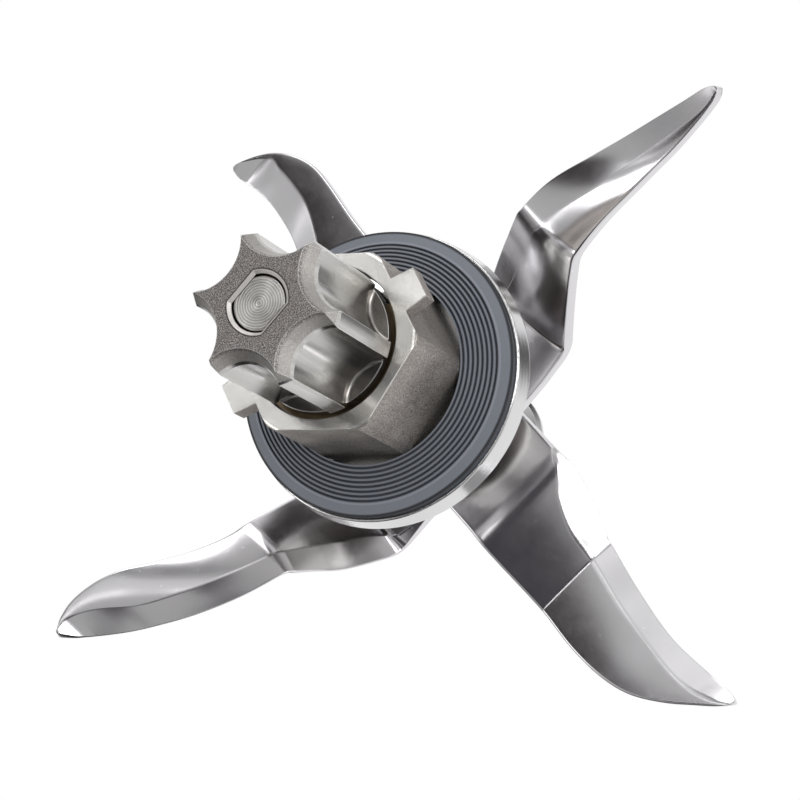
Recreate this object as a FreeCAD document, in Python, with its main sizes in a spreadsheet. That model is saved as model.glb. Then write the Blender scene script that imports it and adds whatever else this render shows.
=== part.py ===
import FreeCAD, Part
import math
import os
import re

import Sketcher

os.makedirs("parts", exist_ok=True)

doc = FreeCAD.newDocument("blade_unit")
Vector = FreeCAD.Vector

# Driving sizes in millimetres and degrees. Heights are above the sealing plane, where the seal meets the jar.

SIZES = {
    # Drive star and its shaft
    "star_face_drop": 38.2,
    "star_disc_drop": 18.6,
    "star_disc_height": 1.9,
    "star_tip_radius": 10.95,
    "star_face_radius": 10.05,
    "star_lead_height": 3.2,
    "star_disc_radius": 10.3,
    "star_arms": 6,
    "arm_end_drop": 0.4,
    "flute_radius": 5.6,
    "flute_valley": 7.8,
    "flute_fillet": 0.5,
    "lead_radius": 6.7,
    "lead_valley": 6.4,
    "mouth_bevel": 0.5,
    "shaft_radius": 4.0,
    "shaft_flat": 3.1,
    "shaft_recess": 0.45,
    "shaft_bevel": 0.35,
    "shaft_collar_radius": 5.6,
    "shaft_collar_height": 1.4,
    "flat_margin": 1.0,
    # Clearances, and how far cutters and joined solids reach past a face
    "overlap": 1.0,
    "seat_gap": 0.02,
    "lip_gap": 0.05,
    "turn_gap": 0.5,
    # Bearing housing
    "housing_drop": 18.1,
    "hex_apothem": 12.64,
    "hex_turn": 20.2,
    "corner_radius": 14.2,
    "end_circle_radius": 13.7,
    "end_bevel": 0.3,
    "neck_radius": 12.6,
    "neck_bevel": 0.6,
    "mouth_radius": 11.2,
    "mouth_depth": 1.6,
    "rib_radius": 9.4,
    "lug_reach": 16.2,
    "lug_root_half": 2.85,
    "lug_end_half": 2.35,
    "lug_height": 3.0,
    "clip_groove_depth": 0.6,
    "clip_thickness": 1.1,
    "clip_width": 1.7,
    "clip_opening": 36.0,
    "clip_ear_radius": 1.5,
    "clip_ear_sink": 0.4,
    "clip_hole_radius": 0.6,
    # Ball bearings
    "bearing_outer": 11.0,
    "bearing_height": 7.0,
    "outer_land": 9.0,
    "inner_land": 6.0,
    "ball_radius": 1.98,
    "ball_circle": 7.5,
    "ball_gap": 0.04,
    "ball_count": 7,
    "cage_inner": 7.1,
    "cage_outer": 7.9,
    "cage_half_height": 2.6,
    "shield_thickness": 0.4,
    "shield_inset": 0.15,
    "shield_seat": 0.4,
    "shield_gap": 0.25,
    "spacer_length": 13.2,
    "spacer_wall": 1.6,
    # Shaft seal
    "case_height": 4.4,
    "case_lift": 0.6,
    "case_wall": 0.8,
    "case_web_radius": 8.2,
    "lip_root_height": 1.2,
    "lip_back_radius": 7.6,
    "lip_edge_drop": 1.8,
    "lip_toe_drop": 3.3,
    "garter_wire": 0.38,
    "garter_drop": 2.4,
    "sleeve_radius": 6.0,
    "case_cover": 0.3,
    # Flange and seal ring
    "flange_radius": 21.85,
    "flange_flare": 0.45,
    "flange_height": 3.7,
    "flange_round": 0.3,
    "seal_radius": 21.5,
    "seal_rise": 1.3,
    "seal_lip": 0.25,
    "seal_undercut": 0.8,
    "seal_bore": 14.3,
    "seal_cone_drop": 2.34,
    "ridge_count": 8,
    "ridge_pitch": 0.65,
    "ridge_start": 0.25,
    "ridge_gap": 0.3,
    "ridge_depth": 0.45,
    # Hub, washer and knob
    "hub_height": 6.9,
    "hub_foot_radius": 12.0,
    "hub_foot_height": 1.6,
    "hub_top_radius": 9.6,
    "washer_radius": 8.2,
    "washer_thickness": 0.8,
    "knob_foot_radius": 6.0,
    "knob_foot_height": 1.6,
    "knob_stem_radius": 5.4,
    "knob_height": 17.6,
    "knob_disc_radius": 9.2,
    "knob_rim_height": 1.8,
    "knob_dome": 0.6,
    "knob_flare": 2.4,
    "knob_cover": 3.2,
    # Blade strips
    "strip_thickness": 2.0,
    "strip_half_width": 9.04,
    "edge_land": 0.4,
    "least_grind": 0.1,
    "low_reach": 62.5,
    "low_twin_reach": 61.2,
    "high_reach": 63.6,
    "bend_radius": 3.0,
    "first_bend": 19.6,
    "low_second_bend": 31.2,
    "low_drop": 15.2,
    "low_tip_drop": 11.9,
    "high_second_bend": 33.0,
    "high_rise": 5.2,
    "high_tip_rise": 1.8,
    "cross_angle": 94.0,
}

# Sizes that follow from the ones above, so that each seat is written once.

FOLLOWING = {
    "shaft_foot": "-star_face_drop + shaft_recess",
    "collar_foot": "-star_disc_drop + star_disc_height",
    "lower_foot": "collar_foot + shaft_collar_height",
    "lower_top": "lower_foot + bearing_height",
    "upper_foot": "lower_top + spacer_length",
    "upper_top": "upper_foot + bearing_height",
    "case_foot": "upper_top + case_lift",
    "case_top": "case_foot + case_height",
    "neck_top": "case_top + case_cover",
    "hub_foot": "neck_top + turn_gap",
    "high_root": "hub_foot + hub_height",
    "low_root": "high_root + strip_thickness",
    "washer_foot": "low_root + strip_thickness",
    "knob_foot": "washer_foot + washer_thickness",
    "knob_top": "knob_foot + knob_height",
    "shaft_top": "knob_top - knob_cover - turn_gap",
    "seat_radius": "bearing_outer + seat_gap",
    "hole_radius": "shaft_radius + seat_gap",
    "flange_top": "seal_rise + flange_height",
    "clip_foot": "lower_foot - clip_thickness",
    "clip_radius": "seat_radius + clip_groove_depth - seat_gap",
    "race_radius": "ball_radius + ball_gap",
}

KNOWN = set(SIZES) | set(FOLLOWING)

sheet = doc.addObject("Spreadsheet::Sheet", "sizes")
for row, (alias, number) in enumerate(SIZES.items(), start=1):
    sheet.set("A%d" % row, alias)
    sheet.set("B%d" % row, str(number))
    sheet.setAlias("B%d" % row, alias)
doc.recompute()
for row, (alias, rule) in enumerate(FOLLOWING.items(), start=len(SIZES) + 1):
    sheet.set("A%d" % row, alias)
    sheet.set("B%d" % row, "=" + rule)
    sheet.setAlias("B%d" % row, alias)
    doc.recompute()


def size(alias):
    """The number that the sheet holds under an alias."""
    return float(getattr(sheet, alias))


def bound(rule):
    """An expression for another object, with each alias read from the sheet."""
    return re.sub(r"[a-z_]+", lambda word: "sizes." + word[0] if word[0] in KNOWN else word[0], rule)


# Lengths closer than this count as equal, in millimetres

CLOSE = 0.001


# Sketch and body helpers

def new_body(name):
    """An empty body whose label is the name of its piece."""
    body = doc.addObject("PartDesign::Body", name + "_body")
    body.Label = name
    return body


def new_sketch(body, name, role, lift="0"):
    """A sketch on one of the body's own origin planes, lifted along the plane's normal."""
    sketch = body.newObject("Sketcher::SketchObject", name)
    plane = [item for item in body.Origin.OriginFeatures if item.Role == role][0]
    sketch.AttachmentSupport = [(plane, "")]
    sketch.MapMode = "FlatFace"
    sketch.setExpression("AttachmentOffset.Base.z", bound(lift))
    return sketch


def draw_outline(sketch, corners):
    """A closed outline of straight lines; each corner is a pair of rules, across and along."""
    first = sketch.GeometryCount
    count = len(corners)
    step = 2 * math.pi / count
    spread = [Vector(math.cos(step * i), math.sin(step * i), 0) for i in range(count)]
    for i in range(count):
        sketch.addGeometry(Part.LineSegment(spread[i], spread[(i + 1) % count]), False)
    for i in range(count):
        sketch.addConstraint(Sketcher.Constraint("Coincident", first + i, 2, first + (i + 1) % count, 1))
    for i, (across, along) in enumerate(corners):
        for kind, rule, start in (("DistanceX", across, spread[i].x), ("DistanceY", along, spread[i].y)):
            index = sketch.addConstraint(Sketcher.Constraint(kind, first + i, 1, start))
            sketch.setExpression("Constraints[%d]" % index, bound(rule))


def draw_circle(sketch, across, along, radius):
    """A circle whose centre and radius follow three rules."""
    index = sketch.addGeometry(Part.Circle(Vector(1, 1, 0), Vector(0, 0, 1), 2.0), False)
    for kind, rule, start in (("DistanceX", across, 1.0), ("DistanceY", along, 1.0)):
        place = sketch.addConstraint(Sketcher.Constraint(kind, index, 3, start))
        sketch.setExpression("Constraints[%d]" % place, bound(rule))
    place = sketch.addConstraint(Sketcher.Constraint("Radius", index, 2.0))
    sketch.setExpression("Constraints[%d]" % place, bound(radius))


def axis_of(body, role):
    """One of the body's own origin axes."""
    return [item for item in body.Origin.OriginFeatures if item.Role == role][0]


def turned(body, name, corners):
    """A solid of revolution about the shaft's axis from an outline of radius and height."""
    sketch = new_sketch(body, name + "_profile", "XZ_Plane")
    draw_outline(sketch, corners)
    feature = body.newObject("PartDesign::Revolution", name + "_turned")
    feature.Profile = sketch
    feature.ReferenceAxis = (axis_of(body, "Z_Axis"), [""])
    feature.Angle = 360.0
    return feature


def grooved(body, name, draw):
    """A cut of revolution about the shaft's axis; draw fills its sketch."""
    sketch = new_sketch(body, name + "_profile", "XZ_Plane")
    draw(sketch)
    feature = body.newObject("PartDesign::Groove", name + "_groove")
    feature.Profile = sketch
    feature.ReferenceAxis = (axis_of(body, "Z_Axis"), [""])
    feature.Angle = 360.0
    return feature


def lathe(name, corners):
    """A piece that is a single turned solid."""
    body = new_body(name)
    turned(body, name, corners)
    return body


def pocketed(body, name, draw, foot, height):
    """An upward cut from one height; draw fills its sketch."""
    sketch = new_sketch(body, name + "_outline", "XY_Plane", foot)
    draw(sketch)
    feature = body.newObject("PartDesign::Pocket", name + "_pocket")
    feature.Profile = sketch
    feature.Reversed = True
    feature.setExpression("Length", bound(height))
    return feature


def repeated(body, name, features, count):
    """Copies of some features spread evenly round the shaft's axis."""
    pattern = body.newObject("PartDesign::PolarPattern", name + "_pattern")
    pattern.Originals = features
    pattern.Axis = (axis_of(body, "Z_Axis"), [""])
    pattern.Angle = 360.0
    pattern.setExpression("Occurrences", bound(count))
    body.Tip = pattern
    return pattern


def ring_edges(shape, radius, height):
    """Names of the full circles of a given radius that lie at a given height."""
    names = []
    for index, edge in enumerate(shape.Edges, start=1):
        curve = edge.Curve
        if not isinstance(curve, Part.Circle):
            continue
        if abs(curve.Radius - radius) < CLOSE and abs(curve.Center.z - height) < CLOSE:
            names.append("Edge%d" % index)
    return names


def rounded(body, name, feature, edges, radius):
    """A fillet on named edges of a feature."""
    fillet = body.newObject("PartDesign::Fillet", name + "_round")
    fillet.Base = (feature, edges)
    fillet.setExpression("Radius", bound(radius))
    body.Tip = fillet
    return fillet


def primitive(kind, name, rules):
    """A Part primitive whose properties follow rules."""
    item = doc.addObject(kind, name)
    for prop, rule in rules.items():
        item.setExpression(prop, bound(rule))
    return item


def flatted_bar(name, extra, foot, height):
    """A round bar with two flats across Y, as the shaft has, enlarged by a clearance."""
    rod = primitive("Part::Cylinder", name + "_rod", {
        "Radius": "shaft_radius + " + extra,
        "Height": height,
        "Placement.Base.z": foot,
    })
    block = primitive("Part::Box", name + "_block", {
        "Length": "4 * shaft_radius",
        "Width": "2 * ( shaft_flat + " + extra + " )",
        "Height": height,
        "Placement.Base.x": "-2 * shaft_radius",
        "Placement.Base.y": "-1 * ( shaft_flat + " + extra + " )",
        "Placement.Base.z": foot,
    })
    bar = doc.addObject("Part::Common", name)
    bar.Base = rod
    bar.Tool = block
    return bar


# Bearing housing: a turned and milled hexagon with a slim neck, two lugs and two bearing seats

def make_housing():
    body = new_body("bearing_housing")
    turned(body, "housing", [
        ("mouth_radius", "-housing_drop"),
        ("end_circle_radius", "-housing_drop"),
        ("corner_radius", "-housing_drop + end_bevel"),
        ("corner_radius", "seal_rise"),
        ("neck_radius", "seal_rise"),
        ("neck_radius", "neck_top - neck_bevel"),
        ("neck_radius - neck_bevel", "neck_top"),
        ("seat_radius", "neck_top"),
        ("seat_radius", "upper_foot"),
        ("rib_radius", "upper_foot"),
        ("rib_radius", "lower_top"),
        ("seat_radius", "lower_top"),
        ("seat_radius", "-housing_drop + mouth_depth"),
        ("mouth_radius", "-housing_drop + mouth_depth"),
    ])

    def draw_hexagon(sketch):
        corner = "hex_apothem / cos(30)"
        draw_outline(sketch, [
            (corner + " * cos( hex_turn + %d )" % turn, corner + " * sin( hex_turn + %d )" % turn)
            for turn in range(30, 390, 60)
        ])
        draw_circle(sketch, "0", "0", "corner_radius + 2 * overlap")

    pocketed(body, "hexagon", draw_hexagon, "-housing_drop - overlap", "housing_drop + seal_rise + overlap")

    lug_sketch = new_sketch(body, "lug_outline", "XY_Plane", "-housing_drop")
    inner = "hex_apothem - overlap"
    corners = [(inner, "-lug_root_half"), ("lug_reach", "-lug_end_half"),
               ("lug_reach", "lug_end_half"), (inner, "lug_root_half")]
    draw_outline(lug_sketch, [
        ("( %s ) * cos( hex_turn ) - ( %s ) * sin( hex_turn )" % (out, side),
         "( %s ) * sin( hex_turn ) + ( %s ) * cos( hex_turn )" % (out, side))
        for out, side in corners
    ])
    lug = body.newObject("PartDesign::Pad", "lug_pad")
    lug.Profile = lug_sketch
    lug.setExpression("Length", bound("lug_height"))
    repeated(body, "lug", [lug], "2")

    def draw_clip_groove(sketch):
        draw_outline(sketch, [
            ("seat_radius - overlap", "clip_foot"),
            ("clip_radius + seat_gap", "clip_foot"),
            ("clip_radius + seat_gap", "lower_foot"),
            ("seat_radius - overlap", "lower_foot"),
        ])

    groove = grooved(body, "clip_seat", draw_clip_groove)
    body.Tip = groove
    return body


# Steel flange that closes the jar's floor and carries the seal under it

def make_flange():
    body = new_body("mounting_flange")
    blank = turned(body, "flange", [
        ("neck_radius + seat_gap", "seal_rise"),
        ("flange_radius", "seal_rise"),
        ("flange_radius + flange_flare", "flange_top"),
        ("neck_radius + seat_gap", "flange_top"),
    ])
    doc.recompute()
    edges = ring_edges(blank.Shape, size("flange_radius"), size("seal_rise"))
    edges += ring_edges(blank.Shape, size("flange_radius") + size("flange_flare"), size("flange_top"))
    rounded(body, "flange", blank, edges, "flange_round")
    return body


# Silicone seal: its underside is a shallow cone with concentric grooves

def make_seal():
    body = new_body("seal_ring")
    turned(body, "seal", [
        ("seal_bore", "-seal_cone_drop"),
        ("seal_radius", "0"),
        ("seal_radius", "seal_lip"),
        ("seal_radius - seal_undercut", "seal_rise"),
        ("seal_bore", "seal_rise"),
    ])
    slope = "( seal_cone_drop / ( seal_radius - seal_bore ) )"

    def draw_grooves(sketch):
        for ridge in range(int(size("ridge_count"))):
            inner = "seal_bore + ridge_start + %d * ridge_pitch" % ridge
            outer = inner + " + ridge_gap"
            inner_skin = "-seal_cone_drop + ( %s - seal_bore ) * %s" % (inner, slope)
            outer_skin = "-seal_cone_drop + ( %s - seal_bore ) * %s" % (outer, slope)
            draw_outline(sketch, [
                (inner, inner_skin + " - ridge_depth"),
                (outer, outer_skin + " - ridge_depth"),
                (outer, outer_skin + " + ridge_depth"),
                (inner, inner_skin + " + ridge_depth"),
            ])

    body.Tip = grooved(body, "ridges", draw_grooves)
    return body


# Drive star: six fluted arms that stand on a thin disc, with a flatted hole for the shaft

def make_star():
    body = new_body("star_blank")
    blank = turned(body, "star", [
        ("0", "-star_face_drop"),
        ("star_face_radius", "-star_face_drop"),
        ("star_tip_radius", "-star_face_drop + star_lead_height"),
        ("star_tip_radius", "-star_disc_drop - arm_end_drop"),
        ("star_disc_radius", "-star_disc_drop"),
        ("star_disc_radius", "collar_foot"),
        ("0", "collar_foot"),
    ])

    def draw_flute(sketch, valley, radius):
        reach = "( %s + %s )" % (valley, radius)
        turn = "( 180 / star_arms )"
        draw_circle(sketch, reach + " * cos" + turn, reach + " * sin" + turn, radius)

    lead_top = "-star_face_drop + star_lead_height"
    mouth = new_sketch(body, "lead_mouth", "XY_Plane", "-star_face_drop")
    draw_flute(mouth, "lead_valley", "lead_radius")
    throat = new_sketch(body, "lead_throat", "XY_Plane", lead_top)
    draw_flute(throat, "flute_valley", "flute_radius")
    lead = body.newObject("PartDesign::SubtractiveLoft", "flute_lead")
    lead.Profile = mouth
    lead.Sections = [throat]
    lead.Ruled = True
    straight = "star_face_drop - star_disc_drop - star_lead_height"
    flute = pocketed(body, "flute", lambda sketch: draw_flute(sketch, "flute_valley", "flute_radius"),
                     lead_top, straight)
    pattern = repeated(body, "flute", [lead, flute], "star_arms")
    doc.recompute()
    floor = -size("star_disc_drop")
    edges = [
        "Edge%d" % index
        for index, edge in enumerate(pattern.Shape.Edges, start=1)
        if isinstance(edge.Curve, Part.Circle)
        and abs(edge.Curve.Radius - size("flute_radius")) < CLOSE
        and abs(edge.Curve.Center.z - floor) < CLOSE
    ]
    rounded(body, "flute", pattern, edges, "flute_fillet")
    hole = flatted_bar("star_hole", "seat_gap", "-star_face_drop - overlap",
                       "star_face_drop + collar_foot + 2 * overlap")
    bored = doc.addObject("Part::Cut", "star_bored")
    bored.Base = body
    bored.Tool = hole
    doc.recompute()
    face = -size("star_face_drop")
    reach = size("hole_radius") + CLOSE
    mouth = [
        index
        for index, edge in enumerate(bored.Shape.Edges, start=1)
        if abs(edge.BoundBox.ZMin - face) < CLOSE and abs(edge.BoundBox.ZMax - face) < CLOSE
        and edge.BoundBox.XMax < reach and edge.BoundBox.XMin > -reach
    ]
    star = doc.addObject("Part::Chamfer", "star_chamfered")
    star.Base = bored
    star.Edges = [(index, size("mouth_bevel"), size("mouth_bevel")) for index in mouth]
    star.Label = "drive_star"
    return star


# Shaft: a round bar with a collar, and two flats at each end

def make_shaft():
    body = new_body("drive_shaft")
    turned(body, "shaft", [
        ("0", "shaft_foot"),
        ("shaft_radius - shaft_bevel", "shaft_foot"),
        ("shaft_radius", "shaft_foot + shaft_bevel"),
        ("shaft_radius", "collar_foot"),
        ("shaft_collar_radius", "collar_foot"),
        ("shaft_collar_radius", "lower_foot"),
        ("shaft_radius", "lower_foot"),
        ("shaft_radius", "shaft_top - shaft_bevel"),
        ("shaft_radius - shaft_bevel", "shaft_top"),
        ("0", "shaft_top"),
    ])

    def draw_flats(sketch):
        for side in ("", "-1 * "):
            draw_outline(sketch, [
                ("-2 * shaft_radius", side + "shaft_flat"),
                ("2 * shaft_radius", side + "shaft_flat"),
                ("2 * shaft_radius", side + "2 * shaft_radius"),
                ("-2 * shaft_radius", side + "2 * shaft_radius"),
            ])

    pocketed(body, "lower_flats", draw_flats, "shaft_foot - overlap", "collar_foot - shaft_foot + overlap")
    upper = pocketed(body, "upper_flats", draw_flats, "high_root", "knob_foot - high_root + flat_margin")
    body.Tip = upper
    return body


# Ball bearing: two grooved races, a pocketed cage, the balls and two shields

def make_bearing(name, foot):
    top = foot + " + bearing_height"
    middle = foot + " + bearing_height / 2"
    recess = "shield_inset + shield_thickness"
    outer = new_body(name + "_outer_race")
    turned(outer, name + "_outer", [
        ("bearing_outer", foot),
        ("bearing_outer", top),
        ("outer_land + shield_seat", top),
        ("outer_land + shield_seat", top + " - " + recess.replace("+", "-")),
        ("outer_land", top + " - " + recess.replace("+", "-")),
        ("outer_land", foot + " + " + recess),
        ("outer_land + shield_seat", foot + " + " + recess),
        ("outer_land + shield_seat", foot),
    ])
    inner = new_body(name + "_inner_race")
    turned(inner, name + "_inner", [
        ("hole_radius", foot),
        ("inner_land", foot),
        ("inner_land", top),
        ("hole_radius", top),
    ])

    def draw_track(sketch):
        draw_circle(sketch, "ball_circle", middle, "race_radius")

    outer.Tip = grooved(outer, name + "_outer_track", draw_track)
    inner.Tip = grooved(inner, name + "_inner_track", draw_track)

    cage = new_body(name + "_cage")
    turned(cage, name + "_cage", [
        ("cage_inner", middle + " - cage_half_height"),
        ("cage_outer", middle + " - cage_half_height"),
        ("cage_outer", middle + " + cage_half_height"),
        ("cage_inner", middle + " + cage_half_height"),
    ])
    sketch = new_sketch(cage, name + "_pocket_outline", "YZ_Plane")
    draw_circle(sketch, "0", middle, "race_radius")
    hole = cage.newObject("PartDesign::Pocket", name + "_ball_pocket")
    hole.Profile = sketch
    hole.Reversed = True
    hole.setExpression("Length", bound("cage_outer + overlap"))
    repeated(cage, name + "_ball", [hole], "ball_count")

    parts = [outer, inner, cage]
    for index in range(int(size("ball_count"))):
        ball = doc.addObject("Part::Sphere", "%s_ball_%d" % (name, index + 1))
        turn = "360 * %d / ball_count" % index
        ball.setExpression("Radius", bound("ball_radius"))
        ball.setExpression("Placement.Base.x", bound("ball_circle * cos( %s )" % turn))
        ball.setExpression("Placement.Base.y", bound("ball_circle * sin( %s )" % turn))
        ball.setExpression("Placement.Base.z", bound(middle))
        parts.append(ball)

    for side, low in (("below", foot + " + shield_inset"), ("above", top + " - " + recess.replace("+", "-"))):
        parts.append(lathe("%s_shield_%s" % (name, side), [
            ("inner_land + shield_gap", low),
            ("outer_land + shield_seat - seat_gap", low),
            ("outer_land + shield_seat - seat_gap", low + " + shield_thickness"),
            ("inner_land + shield_gap", low + " + shield_thickness"),
        ]))
    return parts


# Spacer between the inner races, and the sprung ring that holds the lower bearing in the housing

def make_spacer():
    return lathe("bearing_spacer", [
        ("hole_radius", "lower_top"),
        ("hole_radius + spacer_wall", "lower_top"),
        ("hole_radius + spacer_wall", "upper_foot"),
        ("hole_radius", "upper_foot"),
    ])


def make_circlip():
    ring = lathe("circlip_ring", [
        ("clip_radius - clip_width", "clip_foot"),
        ("clip_radius", "clip_foot"),
        ("clip_radius", "lower_foot"),
        ("clip_radius - clip_width", "lower_foot"),
    ])
    ear_circle = "( clip_radius - clip_width - clip_ear_sink )"
    gap = primitive("Part::Cylinder", "circlip_opening", {
        "Radius": "clip_radius + overlap",
        "Height": "clip_thickness + 2 * overlap",
        "Angle": "clip_opening",
        "Placement.Base.z": "clip_foot - overlap",
    })
    gap.Placement.Rotation = FreeCAD.Rotation(Vector(0, 0, 1), -size("clip_opening") / 2)
    gap.setExpression("Placement.Rotation.Angle", bound("360 - clip_opening / 2"))
    opened = doc.addObject("Part::Cut", "circlip_opened")
    opened.Base = ring
    opened.Tool = gap
    ears = []
    holes = []
    for side, sign in (("left", ""), ("right", "-1 * ")):
        turn = "( clip_opening / 2 + 180 * clip_ear_radius / ( pi * clip_radius ) )"
        place = {
            "Height": "clip_thickness",
            "Placement.Base.x": ear_circle + " * cos( " + turn + " )",
            "Placement.Base.y": sign + ear_circle + " * sin( " + turn + " )",
            "Placement.Base.z": "clip_foot",
        }
        ears.append(primitive("Part::Cylinder", "circlip_ear_" + side, dict(place, Radius="clip_ear_radius")))
        drill = dict(place, Radius="clip_hole_radius")
        holes.append(primitive("Part::Cylinder", "circlip_hole_" + side, drill))
    joined = doc.addObject("Part::MultiFuse", "circlip_joined")
    joined.Shapes = [opened] + ears
    drills = doc.addObject("Part::MultiFuse", "circlip_drills")
    drills.Shapes = holes
    clip = doc.addObject("Part::Cut", "circlip_finished")
    clip.Base = joined
    clip.Tool = drills
    clip.Label = "housing_circlip"
    return clip


# Shaft seal above the bearings: steel case, rubber lip, garter spring, and the sleeve that the lip runs on

def make_shaft_seal():
    case = lathe("shaft_seal_case", [
        ("bearing_outer", "case_foot"),
        ("bearing_outer", "case_top"),
        ("case_web_radius", "case_top"),
        ("case_web_radius", "case_top - case_wall"),
        ("bearing_outer - case_wall", "case_top - case_wall"),
        ("bearing_outer - case_wall", "case_foot"),
    ])
    root = "case_top - case_wall"
    lip = lathe("shaft_seal_lip", [
        ("bearing_outer - case_wall", root),
        ("sleeve_radius + case_wall", root),
        ("sleeve_radius + lip_gap", root + " - lip_edge_drop"),
        ("sleeve_radius + case_wall", root + " - lip_toe_drop"),
        ("lip_back_radius", root + " - lip_toe_drop"),
        ("lip_back_radius", root + " - lip_root_height"),
        ("bearing_outer - case_wall", root + " - lip_root_height"),
    ])
    garter = primitive("Part::Torus", "garter_ring", {
        "Radius1": "lip_back_radius + garter_wire + seat_gap",
        "Radius2": "garter_wire",
        "Placement.Base.z": root + " - garter_drop",
    })
    garter.Label = "garter_spring"
    sleeve = lathe("seal_sleeve", [
        ("hole_radius", "upper_top"),
        ("sleeve_radius", "upper_top"),
        ("sleeve_radius", "hub_foot"),
        ("hole_radius", "hub_foot"),
    ])
    return [case, lip, garter, sleeve]


# Hub seat, washer and knob, stacked on the shaft below and above the blades

def make_hub_stack():
    hub = lathe("hub_seat", [
        ("hole_radius", "hub_foot"),
        ("hub_foot_radius", "hub_foot"),
        ("hub_foot_radius", "hub_foot + hub_foot_height"),
        ("hub_top_radius", "high_root"),
        ("hole_radius", "high_root"),
    ])
    disc = primitive("Part::Cylinder", "washer_disc", {
        "Radius": "washer_radius",
        "Height": "washer_thickness",
        "Placement.Base.z": "washer_foot",
    })
    hole = flatted_bar("washer_hole", "seat_gap", "washer_foot - overlap", "washer_thickness + 2 * overlap")
    washer = doc.addObject("Part::Cut", "washer_cut")
    washer.Base = disc
    washer.Tool = hole
    washer.Label = "lock_washer"
    rim = "knob_top - knob_dome"
    knob = lathe("grip_knob", [
        ("hole_radius", "knob_foot"),
        ("knob_foot_radius", "knob_foot"),
        ("knob_foot_radius", "knob_foot + knob_foot_height"),
        ("knob_stem_radius", "knob_foot + 2 * knob_foot_height"),
        ("knob_stem_radius", rim + " - knob_rim_height - knob_flare"),
        ("knob_stem_radius + knob_flare / 2", rim + " - knob_rim_height"),
        ("knob_disc_radius - knob_dome", rim + " - knob_rim_height"),
        ("knob_disc_radius", rim + " - knob_rim_height + knob_dome"),
        ("knob_disc_radius", rim + " - knob_dome"),
        ("knob_disc_radius - knob_dome", rim),
        ("knob_stem_radius", "knob_top"),
        ("0", "knob_top"),
        ("0", "knob_top - knob_cover"),
        ("hole_radius", "knob_top - knob_cover"),
    ])
    return [hub, washer, knob]


# Blade strips: each is one bent sheet, ground from below along one edge of both arms

# Outlines of an arm seen from above, as stations and distances from its centre line. Station 0 is the
# first bend, 1 the second bend and 2 the tip. "back" is the blunt edge, "edge" the sharp one, "ground" the
# line where the ground face starts, and "land" the height of the blunt strip left along the sharp edge.

LOW_ARM = {
    "back": [(-0.2, 9.04), (0.12, 8.1), (0.55, 7.2), (1.0, 6.6), (1.11, 6.9), (1.22, 7.9), (1.34, 8.9),
             (1.46, 10.5), (1.59, 11.9), (1.72, 12.8), (1.84, 13.4), (1.93, 14.0), (2.0, 13.7)],
    "edge": [(-0.1, -9.04), (0.12, -9.2), (0.55, -8.2), (0.77, -6.2), (1.0, -5.0), (1.15, -4.3),
             (1.22, -3.2), (1.31, -1.6), (1.41, 0.2), (1.61, 3.7), (1.71, 5.7), (1.95, 10.5), (2.0, 11.8)],
    "ground": [(-0.2, -8.9), (0.12, -5.2), (0.55, -3.2), (1.0, -1.3), (1.12, 0.9), (1.22, 2.6), (1.34, 4.5),
               (1.6, 8.7), (1.86, 12.9), (1.93, 13.6), (2.0, 13.3)],
    "land": [(-0.2, 1.85), (0.1, 0.4), (2.0, 0.4)],
    "back_lift": [(0.6, 0.0), (1.0, 0.3), (1.21, 0.0), (1.46, -1.3), (1.6, -2.1), (1.72, -2.1), (1.95, -0.2)],
    "edge_lift": [(0.6, 0.0), (1.0, -1.0), (1.21, -0.9), (1.46, -0.2), (1.6, 0.0), (1.82, -0.5), (2.0, -1.2)],
}

LOW_TWIN = dict(LOW_ARM, **{
    "back": [(-0.2, 9.04), (0.12, 8.1), (0.55, 7.2), (1.05, 6.5), (1.15, 7.3), (1.25, 8.1), (1.34, 9.1),
             (1.42, 10.3), (1.5, 11.9), (1.58, 13.1), (1.68, 14.0), (1.8, 14.4), (1.92, 14.0), (2.0, 12.6)],
    "edge": [(-0.1, -9.04), (0.12, -8.8), (0.55, -7.4), (0.77, -5.7), (1.0, -4.3), (1.09, -3.7),
             (1.23, -2.5), (1.33, -1.3), (1.43, 0.0), (1.52, 1.4), (1.61, 2.9), (1.77, 5.9), (1.92, 9.3),
             (2.0, 11.4)],
    "ground": [(-0.2, -8.9), (0.12, -5.2), (0.55, -3.2), (1.0, -1.3), (1.08, 0.0), (1.28, 1.8), (1.47, 4.2),
               (1.65, 7.0), (1.73, 8.8), (1.8, 10.8), (1.87, 12.6), (1.95, 12.9), (2.0, 12.2)],
})

HIGH_ARM = {
    "back": [(-0.2, 9.04), (0.2, 9.5), (0.5, 9.5), (1.0, 10.0), (1.14, 10.3), (1.24, 10.7), (1.32, 10.7),
             (1.44, 10.4), (1.56, 9.6), (1.65, 8.3), (1.81, 4.7), (1.88, 2.6), (1.96, 0.4), (2.0, -0.8)],
    "edge": [(-0.1, -9.04), (0.2, -8.9), (0.48, -7.7), (0.76, -6.2), (0.92, -5.0), (1.08, -4.1), (1.17, -3.3),
             (1.26, -2.8), (1.36, -2.0), (1.44, -1.6), (1.55, -1.3), (1.67, -1.5), (1.87, -1.9), (2.0, -2.4)],
    "ground": [(-0.2, -8.9), (0.1, -6.9), (0.26, -4.6), (0.43, -3.2), (0.63, -1.9), (1.0, -1.0), (1.17, 0.1),
               (1.29, 0.8), (1.45, 1.5), (1.61, 2.0), (1.76, 2.0), (1.85, 1.6), (1.92, 0.4), (2.0, -1.4)],
    "land": [(-0.2, 1.85), (0.1, 0.4), (2.0, 0.4)],
    "back_lift": [(0.0, 0.0)],
    "edge_lift": [(0.0, 0.0)],
}

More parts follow.
